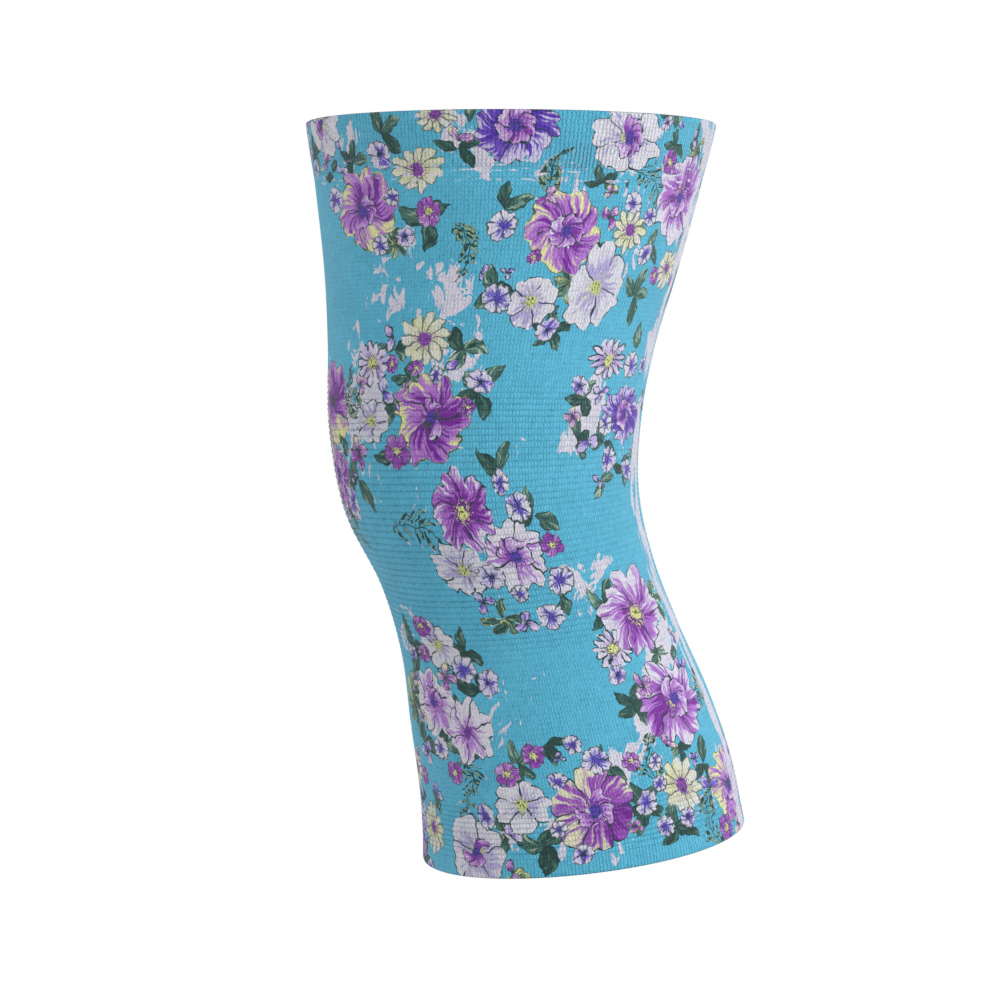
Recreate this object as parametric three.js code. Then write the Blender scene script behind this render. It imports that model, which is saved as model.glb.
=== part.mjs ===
// A pull-on knee sleeve of knitted elastic, in the form that it keeps on a slightly bent leg.
// The knit is one seamless tube, open at both ends, with a plain band at each rim.
// Millimetres, +Z up the leg, the kneecap towards -Y, the origin in the middle of the hollow at
// the height of the kneecap.
import * as THREE from 'three';

// Reach of the sleeve along the leg, from the middle of the kneecap.
const ABOVE_KNEE = 147;
const BELOW_KNEE = 133;

// Outside of the stretched knit, side to side and front to back.
const THIGH_WIDTH = 152;
const THIGH_DEPTH = 162;
const KNEE_WIDTH = 105;
const KNEE_DEPTH = 118;
const CALF_WIDTH = 117;
const CALF_DEPTH = 129;

// How far the middle of the tube lies behind the knee at its two rims.
const THIGH_SET_BACK = 8.6;
const CALF_SET_BACK = 41;

// How much higher the bottom rim lies at the back than at the front, and at -X than at +X.
const HEM_RISE_BACK = 22;
const HEM_RISE_SIDE = 12.4;

// Thickness of the single knit and of the turned bands at the rims.
const WALL = 1.8;
const WELT_WALL = 2.3;
const TOP_WELT_HEIGHT = 21.5;
const BOTTOM_WELT_HEIGHT = 7;
const JOIN_GAP = 0.3;
const EDGE_ROUND = 0.4;

// Ribs of the knee panel, each one standing for two knitted courses.
const KNEE_RIBS_ABOVE = 47;
const KNEE_RIBS_BELOW = 50;
const KNEE_RIB_PITCH = 4.3;
const KNEE_RIB_DEPTH = 0.5;
const BACK_RIB_SHARE = 0.3;

// Raised courses between the calf and the bottom band.
const HEM_RIDGE_BAND = 20;
const HEM_RIDGE_PITCH = 2;
const HEM_RIDGE_DEPTH = 0.4;

// Fineness of the faceted surface.
const SEGMENTS = 40;
const ROW_SPACING = 9;

// Sections of the leg from the calf to the thigh. Height is a share of the reach on that side of
// the knee, back a share of the set-back there, width and depth shares of the named part's size,
// hem the share of the bottom rim's lean, and narrow how much slimmer the front is than the back.
const SECTIONS = [
  { part: 'calf', height: -1.0, back: 1.0, width: 1.0, depth: 1.0, hem: 1.0, narrow: 0.06 },
  { part: 'calf', height: -0.8, back: 0.9, width: 0.965, depth: 0.97, hem: 1.0, narrow: 0.07 },
  { part: 'calf', height: -0.6, back: 0.72, width: 0.92, depth: 0.925, hem: 1.0, narrow: 0.07 },
  { part: 'calf', height: -0.4, back: 0.51, width: 0.87, depth: 0.855, hem: 1.0, narrow: 0.05 },
  { part: 'calf', height: -0.2, back: 0.265, width: 0.853, depth: 0.838, hem: 1.0, narrow: 0.02 },
  { part: 'knee', height: 0.0, back: 0.0, width: 1.0, depth: 1.0, hem: 0.6, narrow: 0.0 },
  { part: 'thigh', height: 0.2, back: -0.37, width: 0.747, depth: 0.767, hem: 0.05, narrow: 0.0 },
  { part: 'thigh', height: 0.4, back: -0.06, width: 0.789, depth: 0.799, hem: 0.0, narrow: 0.01 },
  { part: 'thigh', height: 0.6, back: 0.44, width: 0.861, depth: 0.861, hem: 0.0, narrow: 0.01 },
  { part: 'thigh', height: 0.8, back: 0.78, width: 0.932, depth: 0.932, hem: 0.0, narrow: 0.01 },
  { part: 'thigh', height: 1.0, back: 1.0, width: 1.0, depth: 1.0, hem: 0.0, narrow: 0.01 },
];

const PARTS = {
  calf: { reach: BELOW_KNEE, setBack: CALF_SET_BACK, width: CALF_WIDTH, depth: CALF_DEPTH },
  knee: { reach: 0, setBack: 0, width: KNEE_WIDTH, depth: KNEE_DEPTH },
  thigh: { reach: ABOVE_KNEE, setBack: THIGH_SET_BACK, width: THIGH_WIDTH, depth: THIGH_DEPTH },
};

// Smooth curves through the sections, one for each column.
const sectionHeights = SECTIONS.map((row) => row.height * PARTS[row.part].reach);
const sectionColumns = SECTIONS.map((row) => {
  const { setBack, width, depth } = PARTS[row.part];
  return [row.back * setBack, row.width * width, row.depth * depth, row.hem, row.narrow];
});
const sections = new THREE.CubicInterpolant(
  sectionHeights,
  sectionColumns.flat(),
  sectionColumns[0].length,
);

// The point at a height along the leg and a turn from the front towards +X, at an offset outwards
// from the knit's outside. A ring leans by its share of the bottom rim's lean.
function pointOnKnit(height, turn, offset) {
  const [back, width, depth, hem, narrow] = sections.evaluate(height);
  const x = (width / 2 + offset) * Math.sin(turn) * (1 - narrow * Math.cos(turn));
  const y = -(depth / 2 + offset) * Math.cos(turn);
  const lean = hem * ((HEM_RISE_BACK * y) / CALF_DEPTH - (HEM_RISE_SIDE * x) / CALF_WIDTH);
  return [x, back + y, height + lean];
}

// Plain rows at even heights strictly between two heights.
function plainRows(from, to, offset) {
  const spans = Math.max(1, Math.ceil((to - from) / ROW_SPACING));
  const rows = [];
  for (let i = 1; i < spans; i += 1) {
    rows.push({ height: from + ((to - from) * i) / spans, offset, groove: 0 });
  }
  return rows;
}

// Ribs between two heights: a groove, then a crest, for each rib. The grooves run out towards the
// two ends of the ribbed stretch.
function ribRows(from, to, pitch, depth) {
  const ribs = Math.max(1, Math.round((to - from) / pitch));
  const rows = [];
  for (let i = 0; i <= 2 * ribs; i += 1) {
    const share = i / (2 * ribs);
    const strength = 1 - (2 * share - 1) ** 4;
    const groove = i % 2 === 0 ? depth * strength : 0;
    rows.push({ height: from + (to - from) * share, offset: 0, groove });
  }
  return rows;
}

// The closed outline of a knitted wall, cut along the leg: up the outside rows and down the
// inside, with both ends rounded off.
function wallOutline(bottom, top, outside, inside, outsideRows) {
  const plain = (height, offset) => ({ height, offset, groove: 0 });
  return [
    plain(bottom, outside - EDGE_ROUND),
    plain(bottom + EDGE_ROUND, outside),
    ...outsideRows,
    plain(top - EDGE_ROUND, outside),
    plain(top, outside - EDGE_ROUND),
    plain(top, inside + EDGE_ROUND),
    plain(top - EDGE_ROUND, inside),
    ...plainRows(bottom, top, inside).reverse(),
    plain(bottom + EDGE_ROUND, inside),
    plain(bottom, inside + EDGE_ROUND),
  ];
}

// Carries a closed outline round the leg. Grooves are deepest at the front.
function roundTheLeg(outline) {
  const positions = [];
  const indices = [];
  outline.forEach((row, j) => {
    const next = (j + 1) % outline.length;
    for (let i = 0; i < SEGMENTS; i += 1) {
      const turn = (2 * Math.PI * i) / SEGMENTS;
      const front = (1 + Math.cos(turn)) / 2;
      const groove = row.groove * (BACK_RIB_SHARE + (1 - BACK_RIB_SHARE) * front);
      positions.push(...pointOnKnit(row.height, turn, row.offset - groove));
      const side = (i + 1) % SEGMENTS;
      const corner = j * SEGMENTS + i;
      const beside = j * SEGMENTS + side;
      const above = next * SEGMENTS + i;
      const across = next * SEGMENTS + side;
      indices.push(corner, beside, across, corner, across, above);
    }
  });
  const geometry = new THREE.BufferGeometry();
  geometry.setAttribute('position', new THREE.Float32BufferAttribute(positions, 3));
  geometry.setIndex(indices);
  geometry.computeVertexNormals();
  return geometry;
}

const printedKnit = { color: 0x57aac7, roughness: 0.9, metalness: 0 };

function piece(name, outline) {
  const mesh = new THREE.Mesh(roundTheLeg(outline), new THREE.MeshStandardMaterial(printedKnit));
  mesh.name = name;
  return mesh;
}

// The turned band round the thigh. Its double knit stands a little proud of the tube below it.
function topWelt() {
  const bottom = ABOVE_KNEE - TOP_WELT_HEIGHT;
  const outside = WELT_WALL - WALL;
  const rows = plainRows(bottom, ABOVE_KNEE, outside);
  return piece('top_welt', wallOutline(bottom, ABOVE_KNEE, outside, -WALL, rows));
}

// The tube between the two bands, with the knee ribs and the raised courses above the hem.
function sleeveBody() {
  const bottom = -BELOW_KNEE + BOTTOM_WELT_HEIGHT + JOIN_GAP;
  const top = ABOVE_KNEE - TOP_WELT_HEIGHT - JOIN_GAP;
  const ridgeBottom = bottom + HEM_RIDGE_PITCH;
  const ridgeTop = bottom + HEM_RIDGE_BAND;
  const rows = [
    ...ribRows(ridgeBottom, ridgeTop, HEM_RIDGE_PITCH, HEM_RIDGE_DEPTH),
    ...plainRows(ridgeTop, -KNEE_RIBS_BELOW, 0),
    ...ribRows(-KNEE_RIBS_BELOW, KNEE_RIBS_ABOVE, KNEE_RIB_PITCH, KNEE_RIB_DEPTH),
    ...plainRows(KNEE_RIBS_ABOVE, top, 0),
  ];
  return piece('sleeve_body', wallOutline(bottom, top, 0, -WALL, rows));
}

// The narrow band round the calf.
function bottomWelt() {
  const bottom = -BELOW_KNEE;
  const top = bottom + BOTTOM_WELT_HEIGHT;
  const outside = WELT_WALL - WALL;
  const rows = plainRows(bottom, top, outside);
  return piece('bottom_welt', wallOutline(bottom, top, outside, -WALL, rows));
}

const kneeSleeve = new THREE.Group();
kneeSleeve.add(topWelt(), sleeveBody(), bottomWelt());

export default kneeSleeve;
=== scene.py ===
import math

import bpy
import numpy as np
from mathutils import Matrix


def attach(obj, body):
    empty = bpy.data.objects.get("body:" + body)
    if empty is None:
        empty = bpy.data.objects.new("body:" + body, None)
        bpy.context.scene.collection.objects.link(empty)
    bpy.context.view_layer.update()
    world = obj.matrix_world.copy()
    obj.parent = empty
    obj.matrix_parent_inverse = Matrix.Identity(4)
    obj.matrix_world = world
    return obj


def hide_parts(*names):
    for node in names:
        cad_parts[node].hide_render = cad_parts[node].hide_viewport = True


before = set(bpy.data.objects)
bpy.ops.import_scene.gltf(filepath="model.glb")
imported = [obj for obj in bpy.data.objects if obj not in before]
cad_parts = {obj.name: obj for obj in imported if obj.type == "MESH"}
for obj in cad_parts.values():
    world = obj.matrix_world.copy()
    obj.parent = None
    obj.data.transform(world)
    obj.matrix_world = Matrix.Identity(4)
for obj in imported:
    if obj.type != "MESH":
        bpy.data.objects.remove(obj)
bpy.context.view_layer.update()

# Camera. The picture is taken level, about two metres off, and looks at the outer side of the
# sleeve, turned a little towards the kneecap. That faces -Y, so the camera stands towards +X.
PHOTO_AZIMUTH = math.radians(60)
CAMERA_DISTANCE = 2.0
PICTURE_WIDTH = 0.390
KNEE_LEFT_OF_MIDDLE = 0.0031
SENSOR_WIDTH = 36.0

picture_right = np.array([math.cos(PHOTO_AZIMUTH), math.sin(PHOTO_AZIMUTH), 0.0])
towards_camera = np.array([math.sin(PHOTO_AZIMUTH), -math.cos(PHOTO_AZIMUTH), 0.0])

lens = bpy.data.cameras.new("photo_camera")
lens.sensor_width = SENSOR_WIDTH
lens.lens = SENSOR_WIDTH * CAMERA_DISTANCE / PICTURE_WIDTH
camera = bpy.data.objects.new("photo_camera", lens)
camera.location = picture_right * KNEE_LEFT_OF_MIDDLE + towards_camera * CAMERA_DISTANCE
camera.rotation_euler = (math.pi / 2, 0.0, PHOTO_AZIMUTH)
bpy.context.scene.collection.objects.link(camera)
bpy.context.scene.camera = camera


# Studio. A white room all round, brighter above than below, one large soft light on the right, a
# little above the knee, and a plain pale floor well below the sleeve, which is held up.
FLOOR_HEIGHT = -0.75
FLOOR_RADIUS = 7.0
FLOOR_HUB = 0.001
FLOOR_RINGS = 8
FLOOR_SIDES = 96
FLOOR_COLOUR = (0.93, 0.93, 0.93, 1.0)
FLOOR_GLOW = 0.7
ROOM_LIGHT_BELOW = 0.64
ROOM_LIGHT_ABOVE = 1.05
KEY_POWER = 14.5
KEY_SIZE = 1.1
KEY_DISTANCE = 1.5
KEY_HEIGHT = 0.6
KEY_TO_THE_RIGHT = math.radians(62)


def grid_faces(rows, columns):
    """Corner numbers of the quads of a grid whose rows are open and whose columns close into a
    ring: each face takes a vertex, the next one round, and the two above them."""
    row, column = np.meshgrid(np.arange(rows - 1), np.arange(columns), indexing="ij")
    beside = (column + 1) % columns
    return np.stack([row * columns + column, row * columns + beside,
                     (row + 1) * columns + beside, (row + 1) * columns + column], -1).reshape(-1, 4)


def mesh_from(name, points, faces):
    """A smooth mesh object at the origin from an array of points and one of quads."""
    mesh = bpy.data.meshes.new(name)
    mesh.from_pydata(points.reshape(-1, 3), [], faces.tolist())
    mesh.shade_smooth()
    made = bpy.data.objects.new(name, mesh)
    bpy.context.scene.collection.objects.link(made)
    return made


def disc(radius, height):
    """Rings of points from the middle outwards: x and y are the ring's radius times the cosine
    and sine of the turn."""
    around = np.linspace(0, 2 * np.pi, FLOOR_SIDES, False)
    out, turn = np.meshgrid(np.linspace(FLOOR_HUB, radius, FLOOR_RINGS), around, indexing="ij")
    return np.stack([out * np.cos(turn), out * np.sin(turn), np.full_like(out, height)], -1)


floor_faces = grid_faces(FLOOR_RINGS, FLOOR_SIDES)
floor = mesh_from("floor", disc(FLOOR_RADIUS, FLOOR_HEIGHT), floor_faces)
pale_floor = bpy.data.materials.new("pale_floor")
pale_floor.use_nodes = True
finish = pale_floor.node_tree.nodes["Principled BSDF"].inputs
finish["Base Color"].default_value = FLOOR_COLOUR
finish["Roughness"].default_value = 0.9
finish["Emission Color"].default_value = (1.0, 1.0, 1.0, 1.0)
finish["Emission Strength"].default_value = FLOOR_GLOW
floor.data.materials.append(pale_floor)
floor.visible_diffuse = False

# The room's light grows from straight below to straight above, and the camera sees it white.
room = bpy.data.worlds.new("white_room")
room.use_nodes = True
bpy.context.scene.world = room
background = room.node_tree.nodes["Background"]
background.inputs["Strength"].default_value = 1.0
seen = room.node_tree.nodes.new("ShaderNodeLightPath")
direction = room.node_tree.nodes.new("ShaderNodeTexCoord")
upwards = room.node_tree.nodes.new("ShaderNodeSeparateXYZ")
shade_of_room = room.node_tree.nodes.new("ShaderNodeMapRange")
shade_of_room.inputs["From Min"].default_value = -1.0
shade_of_room.inputs["To Min"].default_value = ROOM_LIGHT_BELOW
shade_of_room.inputs["To Max"].default_value = ROOM_LIGHT_ABOVE
white_for_camera = room.node_tree.nodes.new("ShaderNodeMath")
white_for_camera.operation = "MAXIMUM"
room.node_tree.links.new(direction.outputs["Generated"], upwards.inputs[0])
room.node_tree.links.new(upwards.outputs["Z"], shade_of_room.inputs["Value"])
room.node_tree.links.new(shade_of_room.outputs[0], white_for_camera.inputs[0])
room.node_tree.links.new(seen.outputs["Is Camera Ray"], white_for_camera.inputs[1])
room.node_tree.links.new(white_for_camera.outputs[0], background.inputs["Color"])

# The key light is a square soft box, aimed at the knee.
softbox = bpy.data.lights.new("key_light", "AREA")
softbox.energy = KEY_POWER
softbox.size = KEY_SIZE
key_light = bpy.data.objects.new("key_light", softbox)
key_turn = PHOTO_AZIMUTH + KEY_TO_THE_RIGHT
key_light.location = (KEY_DISTANCE * math.sin(key_turn), -KEY_DISTANCE * math.cos(key_turn), KEY_HEIGHT)
key_light.rotation_euler = (math.atan2(KEY_DISTANCE, KEY_HEIGHT), 0.0, key_turn)
bpy.context.scene.collection.objects.link(key_light)
bpy.context.scene.view_settings.view_transform = "Standard"


# Sleeve body. One seamless tube of elastic knit, in the form that it keeps when it is worn: it
# follows the thigh, the slightly bent knee and the calf. Ribbed courses run round the knee, and
# raised ones above the hem.
ABOVE_KNEE = 0.147
BELOW_KNEE = 0.133
THIGH_SIZE = np.array([0.152, 0.162])
KNEE_SIZE = np.array([0.105, 0.118])
CALF_SIZE = np.array([0.117, 0.129])
THIGH_SET_BACK = 0.0086
CALF_SET_BACK = 0.041
HEM_RISE_BACK = 0.022
HEM_RISE_SIDE = 0.0124
WALL = 0.0018
WELT_PROUD = 0.0005
TOP_WELT_HEIGHT = 0.0215
BOTTOM_WELT_HEIGHT = 0.007
JOIN_GAP = 0.0003

# Sections from the calf to the thigh: height as a share of the reach on that side of the knee,
# set-back as a share of that side's, width and depth as shares of the part's size, the share of
# the hem's lean, and how much slimmer the front is than the back.
CALF_SECTIONS = np.array([
    (-1.0, 1.0, 1.0, 1.0, 1.0, 0.06),
    (-0.8, 0.9, 0.965, 0.97, 1.0, 0.07),
    (-0.6, 0.72, 0.92, 0.925, 1.0, 0.07),
    (-0.4, 0.51, 0.87, 0.855, 1.0, 0.05),
    (-0.2, 0.265, 0.853, 0.838, 1.0, 0.02),
])
KNEE_SECTION = np.array([(0.0, 0.0, 1.0, 1.0, 0.6, 0.0)])
THIGH_SECTIONS = np.array([
    (0.2, -0.37, 0.747, 0.767, 0.05, 0.0),
    (0.4, -0.06, 0.789, 0.799, 0.0, 0.01),
    (0.6, 0.44, 0.861, 0.861, 0.0, 0.01),
    (0.8, 0.78, 0.932, 0.932, 0.0, 0.01),
    (1.0, 1.0, 1.0, 1.0, 0.0, 0.01),
])
sections = np.concatenate([
    CALF_SECTIONS * np.array([BELOW_KNEE, CALF_SET_BACK, *CALF_SIZE, 1, 1]),
    KNEE_SECTION * np.array([1, 1, *KNEE_SIZE, 1, 1]),
    THIGH_SECTIONS * np.array([ABOVE_KNEE, THIGH_SET_BACK, *THIGH_SIZE, 1, 1]),
])


def section_at(height):
    """Back, width, depth, hem and narrow at each height: a cubic between neighbouring sections,
    whose slope at each section is that of the line between the sections on its two sides, and
    whose curvature is nil at the two rims."""
    at, values = sections[:, 0], sections[:, 1:]
    steep = np.diff(values, axis=0) / np.diff(at)[:, None]
    slope = np.empty_like(values)
    slope[1:-1] = (values[2:] - values[:-2]) / (at[2:] - at[:-2])[:, None]
    slope[0] = (3 * steep[0] - slope[1]) / 2
    slope[-1] = (3 * steep[-1] - slope[-2]) / 2
    low = np.clip(np.searchsorted(at, height) - 1, 0, len(at) - 2)
    span = (at[low + 1] - at[low])[..., None]
    share = ((height - at[low]) / span[..., 0])[..., None]
    rest = 1 - share
    return (values[low] * (1 + 2 * share) * rest**2 + values[low + 1] * (3 - 2 * share) * share**2
            + span * share * rest * (slope[low] * rest - slope[low + 1] * share))


def knit_points(height, turn, offset):
    """Points of the knit at a height of the sleeve and a turn from the kneecap towards +X, moved
    outwards by the offset: an ellipse slimmer at the front than at the back, set back behind the
    knee, in a plane that leans by its share of the hem's lean."""
    back, width, depth, hem, narrow = np.moveaxis(section_at(height), -1, 0)
    x = (width / 2 + offset) * np.sin(turn) * (1 - narrow * np.cos(turn))
    y = -(depth / 2 + offset) * np.cos(turn)
    lean = hem * (HEM_RISE_BACK * y / CALF_SIZE[1] - HEM_RISE_SIDE * x / CALF_SIZE[0])
    return np.stack([x, back + y, height + lean], -1)


# Knitting of the tube, with its wales counted round it. Each stretch of courses, from the hem
# up, has its upper end, the pitch of its courses, how deep the furrow between two is at the front,
# which share of that is left at the back, and how many rows of points a course takes.
WALES = 300
COLUMNS = 170
BODY_BOTTOM = -BELOW_KNEE + BOTTOM_WELT_HEIGHT + JOIN_GAP
BODY_TOP = ABOVE_KNEE - TOP_WELT_HEIGHT - JOIN_GAP
HEM_RIDGE_BAND = 0.021
KNEE_RIBS_BELOW = 0.052
KNEE_RIBS_ABOVE = 0.047
STRETCHES = [
    {"top": BODY_BOTTOM + HEM_RIDGE_BAND, "pitch": 0.0020, "furrow": 0.00034, "back": 0.9, "rows": 4},
    {"top": -KNEE_RIBS_BELOW, "pitch": 0.0018, "furrow": 0.00006, "back": 1.0, "rows": 3},
    {"top": KNEE_RIBS_ABOVE, "pitch": 0.00215, "furrow": 0.00036, "back": 0.4, "rows": 4},
    {"top": BODY_TOP, "pitch": 0.0017, "furrow": 0.00004, "back": 1.0, "rows": 3},
]
FURROW_SHARPNESS = 0.7

# Rows of points on the plain inside. The row at either end of the outside lies a little further
# in and reaches a little way into the gap to the band.
INNER_ROWS = 96
ROUNDED = 0.00008
JOIN_REACH = 0.00013


def courses(bottom, stretches):
    """Height, course number, furrow depth and its share at the back, of each row of points from
    the bottom up, and the course number at each stretch's end. Each course has a few rows, and
    each stretch a whole number of courses."""
    heights, numbers, furrows, backs, ends = [], [], [], [], []
    done = 0
    for stretch in stretches:
        count = max(1, round((stretch["top"] - bottom) / stretch["pitch"]))
        number = np.arange(count * stretch["rows"]) / stretch["rows"]
        heights.append(bottom + (stretch["top"] - bottom) * number / count)
        numbers.append(done + number)
        furrows.append(np.full(len(number), stretch["furrow"]))
        backs.append(np.full(len(number), stretch["back"]))
        done += count
        ends.append(done)
        bottom = stretch["top"]
    return [np.concatenate(part) for part in (heights, numbers, furrows, backs)], ends


def knit_wall(name, height, course, outside, inner_height, inside):
    """A closed tube wall: outside rows from the bottom up, then inside rows from the top down.
    Each corner keeps its wale, its course and how near the middle of a bouquet it lies, and each
    face its place in the print."""
    heights = np.concatenate([height, inner_height])[:, None]
    numbers = np.concatenate([course, np.interp(inner_height, height, course)])
    turn = np.linspace(0, 2 * np.pi, COLUMNS, False)
    offset = np.concatenate([outside, np.broadcast_to(inside[:, None], (len(inside), COLUMNS))])
    points = knit_points(np.broadcast_to(heights, offset.shape), turn[None, :], offset)
    rows = len(heights)
    faces = grid_faces(rows + 1, COLUMNS) % (rows * COLUMNS)
    made = mesh_from(name, points, faces)

    row, column = np.meshgrid(np.arange(rows), np.arange(COLUMNS), indexing="ij")
    corner_row = np.stack([row, row, row + 1, row + 1], -1).reshape(-1, 4)
    corner_column = np.stack([column, column + 1, column + 1, column], -1).reshape(-1, 4)
    corner_height = np.append(heights[:, 0], heights[0, 0])[corner_row]
    corner_turn = corner_column * (2 * np.pi / COLUMNS)
    wale = corner_column * (WALES / COLUMNS)
    knit = np.stack([wale, np.append(numbers, numbers[0])[corner_row],
                     bouquet_nearness(corner_turn, corner_height)], -1)
    layer = made.data.attributes.new("knit", "FLOAT_VECTOR", "CORNER")
    layer.data.foreach_set("vector", knit.astype(np.float32).ravel())
    inner = (row >= len(height)).reshape(-1)
    made.data.polygons.foreach_set("material_index", inner.astype(np.int32))
    for layer_name, motifs in print_layers.items():
        stamp(made.data, layer_name, motifs, corner_turn, corner_height)
    return made


# Print. Bouquets of blossoms, daisies and small flowers with leaves and sprigs, in purple, lilac,
# white and pale yellow on teal, drawn for this part. It lies in three layers, so that a flower
# covers what is behind it.
MILLIMETRE = 0.001
MEAN_GIRTH = 0.42
FACES_PAST_EDGE = 0.0022
SEED_STEPS = 512
chances = np.random.default_rng(23)

# Each bouquet: degrees round from the kneecap, height above it in mm, reach across and along in
# mm, and how many large blossoms, daisies, florets, leaves and sprigs are tried there.
BOUQUETS = [
    (20, 118, 22, 18, 2, 2, 13, 8, 4),
    (86, 92, 30, 24, 3, 2, 16, 10, 5),
    (130, 112, 20, 24, 1, 3, 12, 8, 4),
    (34, 42, 26, 20, 1, 4, 14, 10, 5),
    (118, 34, 22, 24, 2, 2, 13, 8, 4),
    (-14, 26, 24, 24, 2, 2, 13, 8, 4),
    (62, -12, 24, 24, 3, 2, 14, 9, 5),
    (16, -66, 24, 24, 2, 3, 14, 9, 4),
    (112, -58, 22, 24, 2, 3, 14, 9, 5),
    (64, -104, 26, 18, 3, 3, 15, 10, 4),
    (138, -116, 20, 14, 1, 3, 11, 7, 4),
    (-20, -112, 24, 20, 2, 2, 12, 8, 3),
    (176, 106, 26, 22, 3, 2, 14, 9, 4),
    (232, 112, 28, 22, 2, 3, 15, 10, 5),
    (292, 98, 28, 24, 3, 2, 14, 9, 4),
    (186, 24, 24, 24, 2, 3, 14, 9, 5),
    (244, 30, 26, 24, 3, 3, 15, 10, 4),
    (306, 30, 24, 24, 1, 4, 14, 9, 5),
    (176, -46, 22, 24, 2, 3, 13, 9, 4),
    (238, -48, 24, 24, 2, 2, 14, 9, 5),
    (296, -52, 24, 24, 3, 2, 13, 9, 4),
    (196, -110, 24, 18, 2, 3, 13, 9, 4),
    (258, -112, 26, 18, 3, 3, 13, 9, 5),
    (54, 142, 20, 9, 2, 1, 9, 6, 3),
    (106, 141, 18, 9, 1, 2, 9, 6, 3),
    (-12, 140, 20, 10, 1, 2, 9, 6, 3),
    (206, 142, 18, 8, 1, 1, 9, 6, 3),
    (264, 141, 20, 9, 1, 2, 9, 6, 3),
    (322, 140, 18, 9, 1, 1, 9, 6, 3),
    (34, -122, 18, 12, 1, 2, 10, 7, 3),
    (103, -106, 16, 14, 0, 2, 10, 7, 4),
    (226, -82, 16, 12, 0, 2, 9, 6, 3),
    (318, -112, 18, 14, 1, 1, 10, 7, 3),
]

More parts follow.
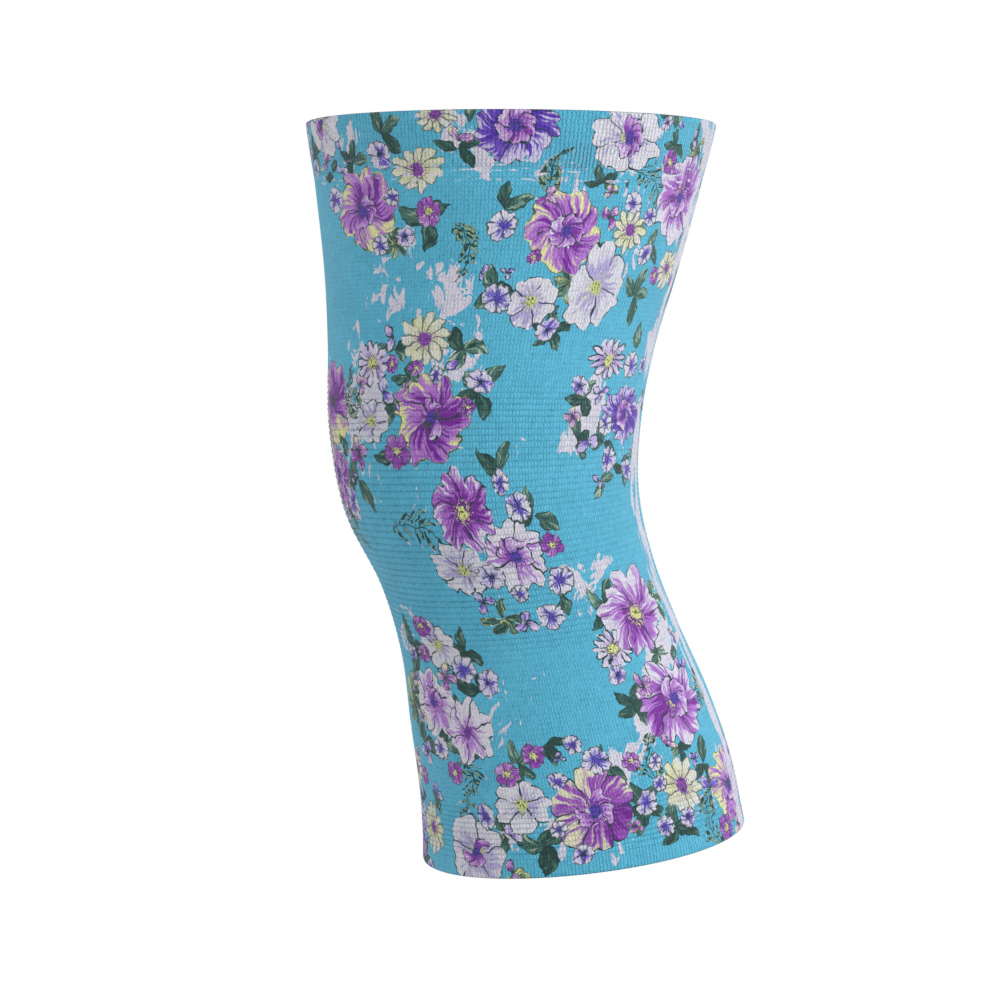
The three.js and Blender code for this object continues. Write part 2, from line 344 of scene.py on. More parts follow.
# Each kind of motif: how many petals, their length, half width, bluntness and where they are
# widest, their notch, the heart, in radii of the motif, their bend, the share left out, a pale rim
# in mm, how much pen there is, how the tone grows outwards, and four screen colours.
KINDS = [
    # Leaves in a fan, leaves with a pale edge, a group of three, and the sprig.
    dict(petals=5, long=0.95, wide=0.20, blunt=0.8, swell=0.9, notch=0.0, heart=0.0,
         bend=0.06, gap=0.3, rim=0.0, pen=0.6, flow=0.2,
         deep=(38, 70, 66), light=(58, 98, 90), pale=(140, 172, 152), core=(40, 70, 66)),
    dict(petals=7, long=0.9, wide=0.18, blunt=0.6, swell=1.5, notch=0.0, heart=0.0,
         bend=0.10, gap=0.25, rim=0.4, pen=0.8, flow=0.2,
         deep=(40, 76, 70), light=(78, 120, 106), pale=(214, 216, 150), core=(40, 70, 66)),
    dict(petals=3, long=0.95, wide=0.26, blunt=0.7, swell=0.8, notch=0.0, heart=0.0,
         bend=0.12, gap=0.1, rim=0.0, pen=0.8, flow=0.1,
         deep=(36, 66, 64), light=(70, 112, 100), pale=(170, 190, 168), core=(40, 70, 66)),
    dict(petals=1, long=0.5, wide=0.1, blunt=0.5, swell=1.0, notch=0.0, heart=0.0,
         bend=0.0, gap=1.0, rim=0.0, pen=0.0, flow=0.0,
         deep=(38, 70, 66), light=(38, 70, 66), pale=(38, 70, 66), core=(40, 70, 66)),
    # Large blossoms.
    dict(petals=6, long=0.94, wide=0.34, blunt=0.52, swell=1.7, notch=0.14, heart=0.17,
         bend=0.05, gap=0.0, rim=0.45, pen=1.0, flow=0.22,
         deep=(112, 40, 142), light=(150, 82, 178), pale=(216, 214, 184), core=(206, 198, 214)),
    dict(petals=5, long=0.94, wide=0.46, blunt=0.46, swell=1.9, notch=0.2, heart=0.14,
         bend=-0.12, gap=0.0, rim=0.7, pen=0.9, flow=0.35,
         deep=(118, 42, 150), light=(176, 118, 202), pale=(222, 224, 158), core=(58, 84, 76)),
    dict(petals=6, long=0.94, wide=0.42, blunt=0.46, swell=1.8, notch=0.2, heart=0.14,
         bend=0.06, gap=0.0, rim=0.15, pen=1.0, flow=0.45,
         deep=(176, 122, 204), light=(212, 208, 220), pale=(214, 212, 222), core=(124, 60, 160)),
    dict(petals=8, long=0.93, wide=0.30, blunt=0.46, swell=1.8, notch=0.16, heart=0.16,
         bend=0.10, gap=0.0, rim=0.3, pen=0.9, flow=0.5,
         deep=(70, 42, 156), light=(104, 70, 182), pale=(200, 192, 224), core=(196, 160, 206)),
    dict(petals=6, long=0.94, wide=0.42, blunt=0.46, swell=1.7, notch=0.22, heart=0.13,
         bend=-0.08, gap=0.0, rim=0.0, pen=1.0, flow=0.55,
         deep=(118, 44, 148), light=(168, 108, 196), pale=(214, 210, 224), core=(216, 218, 140)),
    # Daisies, and a pale flower that may be large too.
    dict(petals=13, long=0.95, wide=0.14, blunt=0.5, swell=1.7, notch=0.05, heart=0.19,
         bend=0.0, gap=0.0, rim=0.0, pen=1.0, flow=0.4,
         deep=(160, 134, 206), light=(206, 196, 222), pale=(214, 210, 224), core=(216, 218, 140)),
    dict(petals=11, long=0.94, wide=0.17, blunt=0.5, swell=1.6, notch=0.05, heart=0.22,
         bend=0.03, gap=0.0, rim=0.0, pen=0.8, flow=0.3,
         deep=(206, 208, 158), light=(214, 214, 196), pale=(216, 214, 218), core=(140, 74, 170)),
    dict(petals=5, long=0.95, wide=0.42, blunt=0.48, swell=1.7, notch=0.12, heart=0.17,
         bend=0.0, gap=0.0, rim=0.0, pen=1.0, flow=0.5,
         deep=(170, 160, 206), light=(210, 208, 218), pale=(216, 214, 224), core=(198, 204, 130)),
    # Florets.
    dict(petals=5, long=0.92, wide=0.40, blunt=0.5, swell=1.6, notch=0.12, heart=0.16,
         bend=0.0, gap=0.0, rim=0.3, pen=0.8, flow=0.42,
         deep=(108, 80, 194), light=(206, 200, 222), pale=(210, 204, 224), core=(44, 56, 90)),
    dict(petals=5, long=0.92, wide=0.38, blunt=0.5, swell=1.5, notch=0.10, heart=0.18,
         bend=0.04, gap=0.0, rim=0.15, pen=0.8, flow=0.3,
         deep=(128, 56, 158), light=(154, 88, 182), pale=(204, 170, 216), core=(214, 216, 140)),
    dict(petals=6, long=0.92, wide=0.36, blunt=0.5, swell=1.6, notch=0.08, heart=0.18,
         bend=0.0, gap=0.0, rim=0.2, pen=0.9, flow=0.42,
         deep=(96, 78, 190), light=(206, 202, 220), pale=(214, 212, 224), core=(92, 70, 180)),
    dict(petals=4, long=0.92, wide=0.32, blunt=0.55, swell=1.3, notch=0.0, heart=0.12,
         bend=0.08, gap=0.25, rim=0.25, pen=0.9, flow=0.3,
         deep=(140, 70, 168), light=(198, 160, 214), pale=(222, 224, 160), core=(44, 76, 70)),
    dict(petals=3, long=0.92, wide=0.30, blunt=0.6, swell=1.1, notch=0.0, heart=0.10,
         bend=0.05, gap=0.3, rim=0.2, pen=1.0, flow=0.3,
         deep=(120, 90, 196), light=(190, 176, 220), pale=(212, 206, 224), core=(44, 76, 70)),
    # Inner petals of a large blossom.
    dict(petals=5, long=0.9, wide=0.42, blunt=0.48, swell=1.5, notch=0.15, heart=0.24,
         bend=0.18, gap=0.2, rim=0.0, pen=1.0, flow=0.5,
         deep=(128, 56, 158), light=(186, 136, 208), pale=(214, 198, 226), core=(86, 62, 168)),
]
SPRIG_KIND = 3
INNER_KIND = 17
INNER_SHARE = 0.5

# How each sort of motif is strewn: the numbers of its kinds, its least and greatest radius, how
# far out it may lie, in the bouquet's reaches, and how far it keeps off its own layer and off the
# layer of its neighbours, as shares of the two radii.
LARGE = dict(kinds=[4, 6, 5, 6, 7, 8, 11], radius=(0.016, 0.022), out=0.75, own=0.86, next=0.6)
DAISY = dict(kinds=[9, 9, 10, 11, 11], radius=(0.010, 0.014), out=1.0, own=0.84, next=0.66)
FLORET = dict(kinds=[12, 13, 14, 14, 15, 16], radius=(0.004, 0.008), out=1.2, own=0.86, next=0.6)
LEAF = dict(kinds=[0, 0, 1, 2], radius=(0.009, 0.015), out=1.2, own=0.62, next=0.56)
SPRIG = dict(kinds=[SPRIG_KIND], radius=(0.012, 0.020), out=1.5, own=0.66, next=0.6)
TRIES = 60


def shortest(turn):
    """A turn as the shorter way round, between minus and plus half a round."""
    return (turn + np.pi) % (2 * np.pi) - np.pi


def scatter(bouquet, sort, count, own_layer, next_layer):
    """Random places in an ellipse round the middle of a bouquet, for motifs of random radii that
    keep off those of their own layer and of the next one. Each motif is tried a number of times
    and is left out where there is no room. It returns those that it added to their layer."""
    made = []
    for radius in chances.uniform(*sort["radius"], count):
        angle = chances.uniform(0, 2 * np.pi, TRIES)
        out = chances.uniform(0, 1, TRIES) ** 0.5 * sort["out"]
        turn = bouquet["turn"] + out * bouquet["across"] * np.cos(angle) / MEAN_GIRTH * 2 * np.pi
        height = bouquet["height"] + out * bouquet["along"] * np.sin(angle)
        taken = [(*motif[:3], sort["own"]) for motif in own_layer]
        taken += [(*motif[:3], sort["next"]) for motif in next_layer]
        taken = np.array(taken).reshape(-1, 4)
        gap = shortest(turn[:, None] - taken[:, 0])
        far = np.hypot(gap * MEAN_GIRTH / (2 * np.pi), height[:, None] - taken[:, 1])
        clear = np.flatnonzero((far > (radius + taken[:, 2]) * taken[:, 3]).all(1))
        if len(clear):
            kind = int(chances.choice(sort["kinds"]))
            made.append((turn[clear[0]], height[clear[0]], radius, kind))
            own_layer.append(made[-1])
    return made


def bouquet_print():
    """The three layers of the print, each a list of motifs: turn, height, radius and kind. Large
    blossoms lie by turns in the middle and the top layer, so that neighbours overlap, and the
    first one has inner petals over it."""
    leaves, blossoms, florets = [], [], []
    for degrees, up, across, along, large, daisies, small, green, sprigs in BOUQUETS:
        bouquet = {"turn": math.radians(degrees), "height": MILLIMETRE * up,
                   "across": MILLIMETRE * across, "along": MILLIMETRE * along}
        for number in range(large):
            layers = (blossoms, florets) if number % 2 == 0 else (florets, blossoms)
            made = scatter(bouquet, LARGE, 1, *layers)
            if number == 0 and made:
                turn, height, radius = made[0][:3]
                florets.append((turn, height, radius * INNER_SHARE, INNER_KIND))
        scatter(bouquet, DAISY, daisies, blossoms, florets)
        scatter(bouquet, FLORET, small, florets, blossoms)
        scatter(bouquet, LEAF, green, leaves, blossoms)
        scatter(bouquet, SPRIG, sprigs, leaves, blossoms)
    return {"leaf_layer": leaves, "blossom_layer": blossoms, "floret_layer": florets}


def bouquet_nearness(turn, height):
    """How near a place is to the middle of a bouquet: 1 there, 0 at twice the bouquet's reach."""
    nearest = np.zeros(turn.shape)
    for degrees, up, across, along in (row[:4] for row in BOUQUETS):
        aside = shortest(turn - math.radians(degrees)) * MEAN_GIRTH / (2 * np.pi)
        far = np.hypot(aside / (MILLIMETRE * across), (height / MILLIMETRE - up) / along)
        nearest = np.maximum(nearest, 1 - far / 2)
    return nearest


# A motif is up to this share narrower one way than the other. A face outside all motifs gets a
# place far off. One attribute holds the place, the kind with its random share, and the radius.
SQUASH = 0.26
NO_MOTIF = (9.0, 9.0, 0.5, 1.0)


def stamp(mesh, name, motifs, corner_turn, corner_height):
    """Gives each corner its place in the motif that its face lies in, in radii of the motif, with
    the motif's kind and a random share added up, and its radius in mm. A face in no motif lies
    far outside. Of two motifs the nearer in radii is taken."""
    turn, height, radius, kind = (np.array(column) for column in zip(*motifs))
    girth = np.pi * (section_at(height)[:, 1] + section_at(height)[:, 2]) / 2
    face_turn, face_height = corner_turn.mean(1), corner_height.mean(1)
    nearest = np.full(len(face_turn), np.inf)
    chosen = np.full(len(face_turn), -1)
    for number in range(len(motifs)):
        gap = shortest(face_turn - turn[number])
        far = np.hypot(gap * girth[number] / (2 * np.pi), face_height - height[number])
        better = (far < radius[number] + FACES_PAST_EDGE) & (far / radius[number] < nearest)
        nearest[better] = far[better] / radius[number]
        chosen[better] = number
    chance = np.random.default_rng(len(motifs)).uniform(0, 1, (3, len(motifs)))
    lean = 2 * np.pi * chance[0]
    squash = 1 - SQUASH + SQUASH * chance[1]
    seed = np.round((0.1 + 0.8 * chance[2]) * SEED_STEPS) / SEED_STEPS
    gap = shortest(face_turn - turn[chosen])
    across = (gap[:, None] + corner_turn - face_turn[:, None]) * (girth[chosen] / (2 * np.pi))[:, None]
    along = corner_height - height[chosen][:, None]
    cosine, sine = np.cos(lean[chosen])[:, None], np.sin(lean[chosen])[:, None]
    x = (across * cosine + along * sine) / radius[chosen][:, None]
    y = (along * cosine - across * sine) / (radius * squash)[chosen][:, None]
    values = np.stack([x, y, np.broadcast_to((kind + seed)[chosen][:, None], x.shape),
                       np.broadcast_to(radius[chosen][:, None] / MILLIMETRE, x.shape)], -1)
    values[chosen < 0] = NO_MOTIF
    layer = mesh.attributes.new(name, "FLOAT_COLOR", "CORNER")
    layer.data.foreach_set("color", values.astype(np.float32).ravel())


print_layers = bouquet_print()

# The furrows are deepest where two courses meet, and fade in over the first course of the tube.
(height, course, furrow, back_share), stretch_ends = courses(BODY_BOTTOM, STRETCHES)
front = (1 + np.cos(np.linspace(0, 2 * np.pi, COLUMNS, False))) / 2
at_front = (furrow * np.minimum(course, 1))[:, None]
deepest = at_front * (back_share[:, None] + (1 - back_share[:, None]) * front)
outside = -deepest * (1 - np.abs(np.sin(np.pi * course))[:, None] ** FURROW_SHARPNESS)
height = np.concatenate([[BODY_BOTTOM - JOIN_REACH], height, [BODY_TOP, BODY_TOP + JOIN_REACH]])
course = np.concatenate([course[:1], course, stretch_ends[-1:] * 2])
outside = np.pad(outside, ((1, 2), (0, 0)))
outside[[0, -1]] = -ROUNDED
inner_height = np.linspace(height[-1], height[0], INNER_ROWS)
sleeve_body = knit_wall("knit_tube", height, course, outside, inner_height, np.full(INNER_ROWS, -WALL))


# Printed knit. The look of the tube and of both bands: white elastic yarn with the ink on its
# outside alone. The print's layers lie one over the other, and the stitches are in relief.
class Shade:
    """One output of a shader node. Operators on it add Math nodes to the same material, and
    node() adds any other node, its settings first and then its sockets."""

    def __init__(self, tree, socket=None):
        self.tree = tree
        self.socket = socket

    def node(self, kind, settings, sockets, output=0):
        made = self.tree.nodes.new(kind)
        for name, value in settings.items():
            if name == "stops":
                made.color_ramp.interpolation = "CONSTANT"
                while len(made.color_ramp.elements) < len(value):
                    made.color_ramp.elements.new(1.0)
                for element, (place, colour) in zip(made.color_ramp.elements, value):
                    element.position = place
                    element.color = colour
            else:
                setattr(made, name, value)
        for name, value in sockets.items():
            if isinstance(value, Shade):
                self.tree.links.new(value.socket, made.inputs[name])
            else:
                made.inputs[name].default_value = value
        return Shade(self.tree, made.outputs[output])

    def other(self, output):
        return Shade(self.tree, self.socket.node.outputs[output])

    def math(self, operation, *values):
        return self.node("ShaderNodeMath", {"operation": operation}, dict(enumerate((self, *values))))

    def __add__(self, other):
        return self.math("ADD", other)

    def __sub__(self, other):
        return self.math("SUBTRACT", other)

    def __rsub__(self, other):
        return self.node("ShaderNodeMath", {"operation": "SUBTRACT"}, {0: other, 1: self})

    def __mul__(self, other):
        return self.math("MULTIPLY", other)

    def __truediv__(self, other):
        return self.math("DIVIDE", other)

    def __rtruediv__(self, other):
        return self.node("ShaderNodeMath", {"operation": "DIVIDE"}, {0: other, 1: self})

    def __pow__(self, other):
        return self.math("POWER", other)

    def __abs__(self):
        return self.math("ABSOLUTE")

    __radd__ = __add__
    __rmul__ = __mul__

    def parts(self):
        first = self.node("ShaderNodeSeparateXYZ", {}, {0: self})
        return first, first.other(1), first.other(2)

    def rise(self, low, high):
        """0 below low and 1 above high, smooth between them."""
        return self.node("ShaderNodeMapRange", {"interpolation_type": "SMOOTHSTEP"},
                         {"Value": self, "From Min": low, "From Max": high})

    def vector(self, x, y, z):
        return self.node("ShaderNodeCombineXYZ", {}, {0: x, 1: y, 2: z})

    def noise(self, place, scale, detail=2.0, output="Fac"):
        return self.node("ShaderNodeTexNoise", {},
                         {"Vector": place, "Scale": scale, "Detail": detail}, output)

    def mix(self, share, low, high, blend="MIX"):
        return self.node("ShaderNodeMix", {"data_type": "RGBA", "blend_type": blend},
                         {0: share, 6: low, 7: high}, 2)


def ink(red, green, blue):
    """A shader colour from the red, green and blue of a screen, 0 to 255."""
    part = np.array([red, green, blue]) / 255
    linear = np.where(part <= 0.04045, part / 12.92, ((part + 0.055) / 1.055) ** 2.4)
    return (*(float(value) for value in linear), 1.0)


BARE_KNIT = ink(208, 204, 218)
TEAL = ink(83, 173, 203)
PALER_TEAL = ink(87, 178, 208)
# The colour that painted shade multiplies the knit by, in its furrows and at the rims.
FURROW_SHADE = (0.16, 0.27, 0.31, 1)
PEN = ink(34, 60, 62)
SPRIG_GREEN = ink(38, 70, 66)
SPRIG_LIT = ink(150, 178, 150)
SPRIG_TIP = ink(206, 190, 214)

# The hand that drew the motifs: the pen's width in mm, how far it strays in radii of the motif,
# how frilled the petals are, how much shorter one may be than the next, and how their tone varies.
PEN_WIDTH = 0.54
HAND_STRAYS = 0.36
FRILL = 0.24
SHORTER_PETAL = 0.2
TONE_VARIES = 0.24
PETALS_SCALE = 20


def look_up(shade, kind, values):
    """The value of the motif's kind, from a ramp of constant steps with one for each kind."""
    stops = [(number / len(KINDS), value) for number, value in enumerate(values)]
    return shade.node("ShaderNodeValToRGB", {"stops": stops}, {0: (kind + 0.5) / len(KINDS)})


def look_up_numbers(shade, kind, rows):
    """The four numbers of the motif's kind that each row holds."""
    found = look_up(shade, kind, rows)
    split = found.node("ShaderNodeSeparateColor", {}, {0: found})
    return split, split.other(1), split.other(2), found.other(1)


def node_group(name, inputs, build):
    """A group of shader nodes with the named inputs and one colour, the result of build."""
    tree = bpy.data.node_groups.new(name, "ShaderNodeTree")
    for socket_name, kind in inputs.items():
        tree.interface.new_socket(socket_name, in_out="INPUT", socket_type=kind)
    tree.interface.new_socket("Color", in_out="OUTPUT", socket_type="NodeSocketColor")
    given = tree.nodes.new("NodeGroupInput")
    made = build(Shade(tree), *(Shade(tree, given.outputs[socket_name]) for socket_name in inputs))
    tree.links.new(made.socket, tree.nodes.new("NodeGroupOutput").inputs[0])
    return tree


def motifs_over(shade, place, radius, under):
    """Motifs over a colour. The place is in radii of the motif, with its code. In each motif the
    turn is cut into petals. A petal's half width is a power of a sine along its length, and its
    tone comes from streaks of noise along it. Pen lines follow its edge and its neighbours, and a
    speckled heart lies on top."""
    x, y, code = place.parts()
    kind = code.math("FLOOR")
    own = (code * SEED_STEPS).math("ROUND")
    rows = [(row["petals"] / PETALS_SCALE, row["long"], row["wide"], row["blunt"]) for row in KINDS]
    count, long, wide, blunt = look_up_numbers(shade, kind, rows)
    rows = [(row["swell"] / 2, row["notch"], row["heart"], 0.5 + row["bend"]) for row in KINDS]
    swell, notch, heart, turned = look_up_numbers(shade, kind, rows)
    rows = [(row["gap"], row["rim"], row["pen"], 0.5 + row["flow"] / 2) for row in KINDS]
    gap, rim, pen, flow = look_up_numbers(shade, kind, rows)
    petals = (count * PETALS_SCALE).math("ROUND")

    hand = shade.noise(shade.vector(x, y, own * 0.37), 2.2, 2.0, "Color")
    push_x, push_y, _ = hand.parts()
    x = x + (push_x - 0.5) * HAND_STRAYS
    y = y + (push_y - 0.5) * HAND_STRAYS
    out = (x * x + y * y) ** 0.5
    around = y.math("ARCTAN2", x) / (2 * math.pi) + own * 0.0137 + (turned - 0.5) * out
    numbered = around * petals
    cell = numbered.math("FLOOR")
    aside = (numbered - cell - 0.5) * (2 * math.pi) / petals
    petal = cell.math("FLOORED_MODULO", petals)
    chance = shade.node("ShaderNodeTexWhiteNoise", {"noise_dimensions": "2D"},
                        {"Vector": shade.vector(petal, own, 0.0)}, "Color")
    chance_long, chance_gap, chance_tone = chance.parts()

    frill = shade.noise(shade.vector(x, y, own * 0.53), 5.5, 1.0)
    inset = (1 - (abs(aside) * petals / 1.7)).math("MAXIMUM", 0.0)
    reach = long * (1 - chance_long * SHORTER_PETAL) * (1 - notch * inset) * (1 + (frill - 0.5) * FRILL)
    along = (out * aside.math("COSINE") / reach).math("MINIMUM", 1.0).math("MAXIMUM", 0.0)
    off = abs(out * aside.math("SINE"))
    half = wide * ((along ** (swell * 2) * math.pi).math("SINE").math("MAXIMUM", 0.0)) ** blunt
    edge = (half - off).math("MINIMUM", reach - out) * radius
    kept = chance_gap.math("GREATER_THAN", gap)
    body = edge.rise(-0.12, 0.14) * kept

    in_petal = shade.vector(aside * petals * 0.55, out * 0.9, petal * 5.1 + own * 0.7)
    streak = shade.noise(in_petal, 2.6, 3.0)
    tone = streak + (along - 0.5) * (flow * 2 - 1) + (chance_tone - 0.5) * TONE_VARIES
    deep = look_up(shade, kind, [ink(*row["deep"]) for row in KINDS])
    light = look_up(shade, kind, [ink(*row["light"]) for row in KINDS])
    pale = look_up(shade, kind, [ink(*row["pale"]) for row in KINDS])
    fill = shade.mix(tone.rise(0.38, 0.53), deep, light)
    fill = shade.mix(tone.rise(0.57, 0.74), fill, pale)
    rimmed = (1 - edge.rise(rim * 0.7, rim + 0.1)) * rim.math("GREATER_THAN", 0.05)
    fill = shade.mix(rimmed, fill, pale)

    stroke = shade.noise(shade.vector(x, y, own * 0.21), 3.1, 1.0)
    line = 1 - abs(edge - PEN_WIDTH / 2).rise(PEN_WIDTH * 0.4, PEN_WIDTH * 0.75)
    seam = 1 - ((math.pi / petals - abs(aside)) * out * radius).rise(PEN_WIDTH * 0.3, PEN_WIDTH * 0.7)
    vein = (1 - (off * radius).rise(0.1, 0.3)) * (1 - along.rise(0.35, 0.5)) * streak.rise(0.45, 0.5)
    drawn = line.math("MAXIMUM", seam * edge.rise(0.0, 0.1)).math("MAXIMUM", vein)
    fill = shade.mix(drawn * stroke.rise(0.37, 0.43) * pen, fill, PEN)

    core = look_up(shade, kind, [ink(*row["core"]) for row in KINDS])
    grain = shade.noise(shade.vector(x * radius, y * radius, own), 1.5, 1.0)
    hearted = heart.math("GREATER_THAN", 0.01)
    middle = (1 - (out + (grain - 0.5) * 0.12).rise(heart - 0.03, heart + 0.01)) * hearted
    ring = (1 - (out / heart).rise(1.5, 2.2)) * grain.rise(0.58, 0.62) * hearted
    fill = shade.mix(middle.math("MAXIMUM", ring), fill, core)
    fill = shade.mix(middle * grain.rise(0.54, 0.6), fill, PEN)
    return shade.mix(body.math("MAXIMUM", middle), under, fill)


def sprigs_over(shade, place, radius, under):
    """Sprigs over a colour: a bent stem with slanting leaflets on both sides, each a stroke whose
    half width is a sine along it. They are shorter towards the tip and close to both ends."""
    x, y, code = place.parts()
    kind = code.math("FLOOR")
    own = (code * SEED_STEPS).math("ROUND")
    wander = shade.noise(shade.vector(x, y, own * 0.41), 1.8, 2.0)
    arm = abs(x + (wander - 0.5) * 0.5 - (y * y - 0.3) * 0.45)
    step = y * ((own * 0.618).math("FRACT") * 3.5 + 3.0) - arm * 4.2 + own * 0.37 + (wander - 0.5) * 5
    cell = step.math("FLOOR")
    chance = shade.node("ShaderNodeTexWhiteNoise", {"noise_dimensions": "2D"},
                        {"Vector": shade.vector(cell, own, 0.0)}, 0)
    reach = (0.72 - y * 0.5) * (0.12 + chance * 0.68) * (1 - (y * y)**3)
    along = (arm / reach).math("MINIMUM", 1.0)
    plump = 0.45 + (chance * 7.3).math("FRACT") * 0.55
    leaflet = (along * math.pi).math("SINE") * plump - abs(step - cell - 0.5) * radius * 0.13
    stem = 0.24 - arm * radius
    edge = leaflet.math("MAXIMUM", stem).math("MINIMUM", (0.95 - abs(y)) * radius)
    body = edge.rise(-0.1, 0.1) * (kind - SPRIG_KIND).math("COMPARE", 0.0, 0.1)
    lit = (wander * 9).math("FRACT").rise(0.5, 0.55) * leaflet.rise(0.12, 0.2)
    fill = shade.mix(lit * 0.8, SPRIG_GREEN, SPRIG_LIT)
    fill = shade.mix(along.rise(0.7, 0.8) * chance.rise(0.5, 0.55), fill, SPRIG_TIP)
    return shade.mix(body, under, fill)


PLACE_SOCKETS = {"Place": "NodeSocketVector", "Radius": "NodeSocketFloat", "Under": "NodeSocketColor"}
motif_group = node_group("motifs", PLACE_SOCKETS, motifs_over)
sprig_group = node_group("sprigs", PLACE_SOCKETS, sprigs_over)


# Torn patches: how many there are to the metre, how they are drawn out upwards, the finer
# tears of their edge, and how much oftener they come near a bouquet.
PATCHES = 40.0
PATCH_TALL = 0.62
TEARS = 150.0
TEAR_STRENGTH = 0.60
NEAR_BOUQUET = 0.14


def print_on_knit(shade, spot, near):
    """The print: teal with torn, unprinted patches, more of them near a bouquet, and over it the
    sprigs, the leaves, the blossoms and the florets."""
    tall = shade.node("ShaderNodeVectorMath", {"operation": "MULTIPLY"},
                      {0: spot, 1: (1.0, 1.0, PATCH_TALL)})
    patch = shade.noise(tall, PATCHES, 1.0)
    tear = shade.node("ShaderNodeTexNoise", {}, {"Vector": tall, "Scale": TEARS, "Detail": 3.0,
                                                 "Roughness": 0.6, "Distortion": 1.2})
    torn = (patch + (tear - 0.5) * TEAR_STRENGTH + (near - 0.4) * NEAR_BOUQUET).rise(0.64, 0.65)
    mottle = shade.noise(spot, 60.0, 2.0)
    teal = shade.mix(mottle.rise(0.3, 0.7), TEAL, PALER_TEAL)
    ground = shade.mix(torn, teal, BARE_KNIT)
    for layer, group in (("leaf_layer", sprig_group), ("leaf_layer", motif_group),
                         ("blossom_layer", motif_group), ("floret_layer", motif_group)):
        place = shade.node("ShaderNodeAttribute", {"attribute_name": layer}, {}, "Vector")
        ground = shade.node("ShaderNodeGroup", {"node_tree": group},
                            {"Place": place, "Radius": place.other("Alpha"), "Under": ground})
    return ground


SPOT_SOCKETS = {"Spot": "NodeSocketVector", "Near": "NodeSocketFloat"}
print_group = node_group("flower_print", SPOT_SOCKETS, print_on_knit)

# The tube was folded flat for printing, so a ragged streak down each fold is bare. Near one turn
# the stitches of the top join are pulled open. Places round the tube are counted in wales.
FOLD_WALE = WALES * 140 / 360
STREAK_REACH = 28
PULLED_WALE = WALES * 84 / 360
PULLED_NEAR = 1.0
PULLED_FAR = 9.0
TOP_JOIN = ABOVE_KNEE - TOP_WELT_HEIGHT - 0.001

# How far a stitch strays from its wale and from its course, how its two legs slant, how strong the
# grain of the yarn is and how fine, to the metre, the painted shade between the ribs, between the
# ridges and at a rim, the height of the relief in metres, and a course that no piece has.
WALE_STRAYS = 0.9
COURSE_STRAYS = 0.7
LEG_SLANT = 0.9
YARN_SHADE = 0.95
YARN_GRAIN = 1500.0
KNEE_RIB_SHADE = 0.40
HEM_RIDGE_SHADE = 0.36
RIM_SHADE = 0.6
STITCH_HEIGHT = 0.0004
NOWHERE = -9.0


def bare_streaks(shade, wale, course, above_join):
    """Where the ink is missing: in a band of ragged width round each fold, and in dashes along
    the courses close to the top join."""
    side = (wale - FOLD_WALE + WALES / 4).math("FLOORED_MODULO", WALES / 2)
    ragged = shade.noise(shade.vector(wale * 0.3, course * 0.09, 0.0), 1.0, 4.0)
    streaked = 1 - (abs(side - WALES / 4) - (ragged - 0.38) * STREAK_REACH).rise(-0.6, 0.3)
    dashes = shade.noise(shade.vector(wale * 0.2, course * 0.9, 3.0), 1.0, 2.0).rise(0.6, 0.63)
    return streaked.math("MAXIMUM", dashes * (1 - abs(above_join).rise(0.002, 0.006)))


def rib_shade(course, wale, ribs):
    """Painted shade between the ribs of the knee, strongest at the front, and between the ridges
    above the hem, also used as their relief: a narrow power of a sine, once for each course."""
    hem_top, knee_bottom, knee_top = ribs
    knee = course.rise(knee_bottom, knee_bottom + 5.0) * (1 - course.rise(knee_top - 5.0, knee_top))
    front = (wale * (2 * math.pi / WALES)).math("COSINE") * 0.35 + 0.65
    hem = (1 - course.rise(hem_top - 1.5, hem_top)) * course.rise(0.3, 1.3)
    ribbed = knee * front * KNEE_RIB_SHADE + hem * HEM_RIDGE_SHADE
    return (1 - abs((course * math.pi).math("SINE")))**3 * ribbed


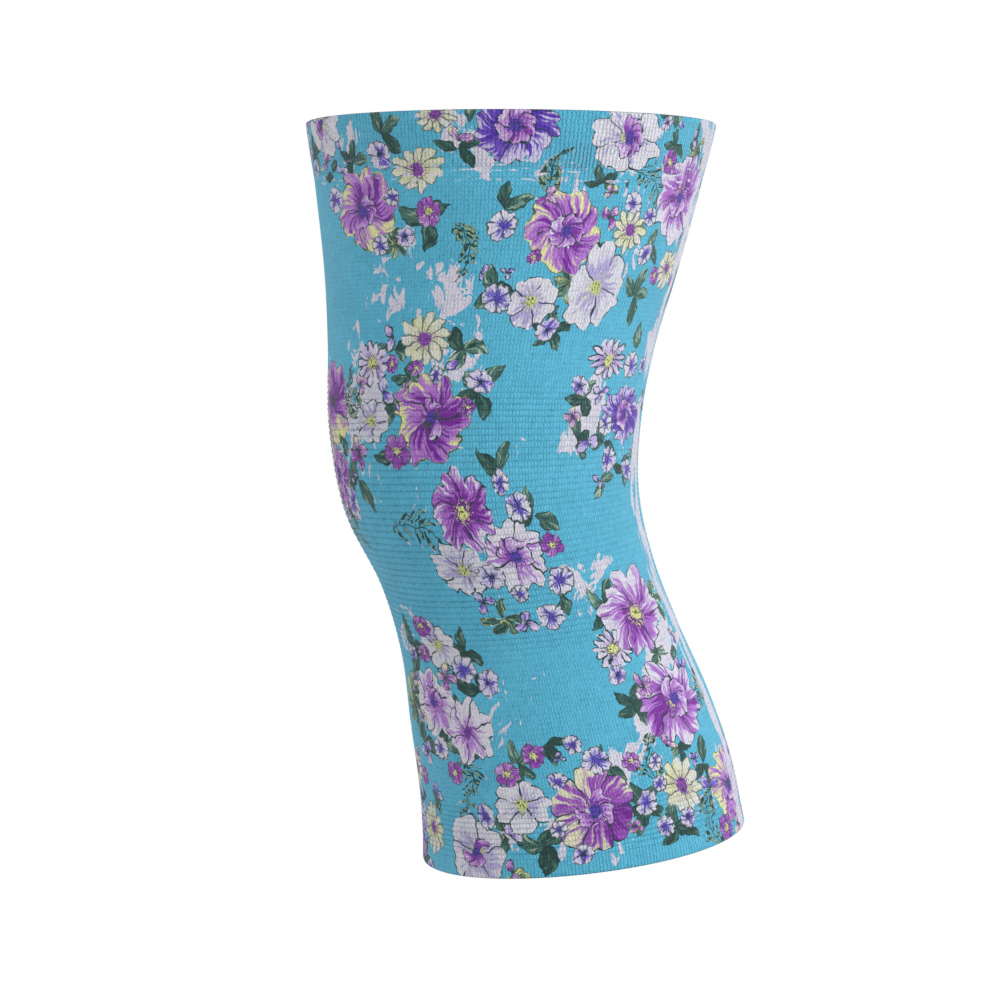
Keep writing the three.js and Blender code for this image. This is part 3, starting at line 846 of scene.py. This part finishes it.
def printed_knit(name, wale_shade, course_shade, ribs=(NOWHERE,) * 3, rim_course=NOWHERE):
    """Printed elastic knit. The ink is teal with torn, unprinted patches, the motifs lie on it,
    and both folds are bare. Each stitch is two slanting legs in a cell of one wale by one course,
    and painted shade darkens the furrows between them, between the ribs and at a band's rim."""
    material = bpy.data.materials.new(name)
    material.use_nodes = True
    tree = material.node_tree
    shader = tree.nodes["Principled BSDF"]
    shade = Shade(tree)

    spot = shade.node("ShaderNodeTexCoord", {}, {}, "Object")
    knit = shade.node("ShaderNodeAttribute", {"attribute_name": "knit"}, {}, "Vector")
    wale, course, near = knit.parts()

    ground = shade.node("ShaderNodeGroup", {"node_tree": print_group}, {"Spot": spot, "Near": near})

    above_join = spot.parts()[2] - TOP_JOIN
    ground = shade.mix(bare_streaks(shade, wale, course, above_join), ground, BARE_KNIT)

    shift = shade.noise(shade.vector(wale * 0.5, course * 0.5, 0.0), 1.0, 1.0, "Color")
    shift_wale, shift_course, uneven = shift.parts()
    loose_wale = wale + (shift_wale - 0.5) * WALE_STRAYS
    across = abs(loose_wale.math("FRACT") - 0.5)
    between = (1 - abs((loose_wale * math.pi).math("SINE")))**2
    slanted = course + across * LEG_SLANT + (shift_course - 0.5) * COURSE_STRAYS
    loop = (slanted * (2 * math.pi)).math("COSINE") * 0.5 + 0.5

    pulled = 1 - abs(wale - PULLED_WALE).rise(PULLED_NEAR, PULLED_FAR)
    pulled = pulled * (1 - abs(above_join - 0.003).rise(0.003, 0.011))
    ground = shade.mix(pulled * between**2 * uneven.rise(0.45, 0.6) * 0.7, ground, BARE_KNIT)
    # Deeper painted shade between the pulled stitches.
    between = between * (pulled * 1.2 + 1)

    yarn = shade.noise(spot, YARN_GRAIN, 2.0)
    # Painted shade in the furrows between the wales and the courses, of uneven strength, with the grain
    # of the yarn over it.
    stitch = (between * wale_shade + loop**2 * course_shade) * (uneven * 3.0 - 0.5)
    stitch = stitch + (yarn - 0.5) * YARN_SHADE
    rib = rib_shade(course, wale, ribs)
    # A line of painted shade along the rim of a band.
    rim = 1 - abs(course - rim_course).rise(0.1, 0.42)
    shadow = (stitch + rib + rim * RIM_SHADE).math("MINIMUM", 0.85).math("MAXIMUM", -0.2)
    ground = shade.mix(shadow, ground, FURROW_SHADE, "MULTIPLY")

    relief = (1 - loop) * course_shade * 2.4 + (1 - between) * wale_shade * 2.4 - rib
    bump = shade.node("ShaderNodeBump", {},
                      {"Strength": 0.8, "Distance": STITCH_HEIGHT, "Height": relief})
    tree.links.new(ground.socket, shader.inputs["Base Color"])
    tree.links.new(bump.socket, shader.inputs["Normal"])
    shader.inputs["Roughness"].default_value = 0.88
    shader.inputs["Specular IOR Level"].default_value = 0.25
    shader.inputs["Sheen Weight"].default_value = 0.12
    return material


BARE_INSIDE = ink(196, 210, 218)
TEAL_THROUGH = ink(150, 192, 208)
INSIDE_SHADE = 0.13


def bare_knit(name):
    """The inside of the tube: unprinted off-white knit, with the teal showing through faintly."""
    material = bpy.data.materials.new(name)
    material.use_nodes = True
    tree = material.node_tree
    shader = tree.nodes["Principled BSDF"]
    shade = Shade(tree)
    spot = shade.node("ShaderNodeTexCoord", {}, {}, "Object")
    knit = shade.node("ShaderNodeAttribute", {"attribute_name": "knit"}, {}, "Vector")
    wale, course, _ = knit.parts()
    between = (1 - abs((wale * math.pi).math("SINE")))**2
    loop = (course * (2 * math.pi)).math("COSINE") * 0.5 + 0.5
    through = shade.noise(spot, 60.0, 4.0)
    colour = shade.mix(through.rise(0.35, 0.75) * 0.55, BARE_INSIDE, TEAL_THROUGH)
    # Painted shade in the furrows between the stitches.
    colour = shade.mix((loop**2 + between) * INSIDE_SHADE, colour, FURROW_SHADE, "MULTIPLY")
    bump = shade.node("ShaderNodeBump", {},
                      {"Strength": 0.6, "Distance": STITCH_HEIGHT, "Height": 1 - loop - between})
    tree.links.new(colour.socket, shader.inputs["Base Color"])
    tree.links.new(bump.socket, shader.inputs["Normal"])
    shader.inputs["Roughness"].default_value = 0.92
    return material


inner_knit = bare_knit("inner_knit")
sleeve_body.data.materials.append(printed_knit("printed_tube_knit", wale_shade=0.24, course_shade=0.19,
                                               ribs=stretch_ends[:3]))
sleeve_body.data.materials.append(inner_knit)
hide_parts("sleeve_body")
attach(sleeve_body, "root")


# Top welt. The plain band round the thigh is knitted on, turned in double and linked down, so its
# rim is a soft roll and it draws in to the tube at the join. Its wales stand out as fine lines.
BAND_COURSE = 0.0015
ROWS_PER_COURSE = 4
ROWS_CROWDING = 0.8
RIM_ROLL = 0.0011
RIM_FLAT = 0.3
PROUD_REACH = 0.012


def band(name, join, rim):
    """A turned band between its join to the tube and its free rim. Its outside swells from the
    tube's own surface to its full thickness within a short way, and its rim is half a circle,
    flattened, between the outside and the inside. Its rows are closer towards the rim."""
    count = round(abs(rim - join) / BAND_COURSE) * ROWS_PER_COURSE
    away = abs(rim - join) * np.append(0, np.linspace(0, 1, count + 1) ** ROWS_CROWDING)
    left = np.maximum(0, 1 - (abs(rim - join) - away) / RIM_ROLL)
    swell = WELT_PROUD * np.clip(away / PROUD_REACH, 0, 1)
    thick = (WALL + swell) / 2
    middle = (swell - WALL) / 2
    rounding = RIM_FLAT + (1 - RIM_FLAT) * np.sqrt(1 - left**2)
    upwards = 1 if rim > join else -1
    height = join + upwards * away
    height[0] -= upwards * JOIN_REACH
    outside, inside = middle + thick * rounding, middle - thick * rounding
    outside[0] -= ROUNDED
    if upwards < 0:
        height, outside, inside = height[::-1], outside[::-1], inside[::-1]
    course = (height - height[0]) / BAND_COURSE
    outside = np.broadcast_to(outside[:, None], (len(height), COLUMNS))
    return knit_wall(name, height, course, outside, height[::-1], inside[::-1])


top_welt = band("thigh_band", ABOVE_KNEE - TOP_WELT_HEIGHT, ABOVE_KNEE)
band_rim = (TOP_WELT_HEIGHT + JOIN_REACH) / BAND_COURSE
# Its wales stand out by strong painted shade between them.
top_welt.data.materials.append(printed_knit("printed_band_knit", wale_shade=0.37, course_shade=0.20,
                                            rim_course=band_rim))
top_welt.data.materials.append(inner_knit)
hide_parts("top_welt")
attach(top_welt, "root")


# Bottom welt. The narrow band round the calf ends the sleeve. It is knitted on and turned in
# double like the top one, and it leans with the bottom rim.
bottom_welt = band("calf_band", -BELOW_KNEE + BOTTOM_WELT_HEIGHT, -BELOW_KNEE)
bottom_welt.data.materials.append(printed_knit("printed_hem_knit", wale_shade=0.33, course_shade=0.20,
                                               rim_course=0.0))
bottom_welt.data.materials.append(inner_knit)
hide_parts("bottom_welt")
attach(bottom_welt, "root")
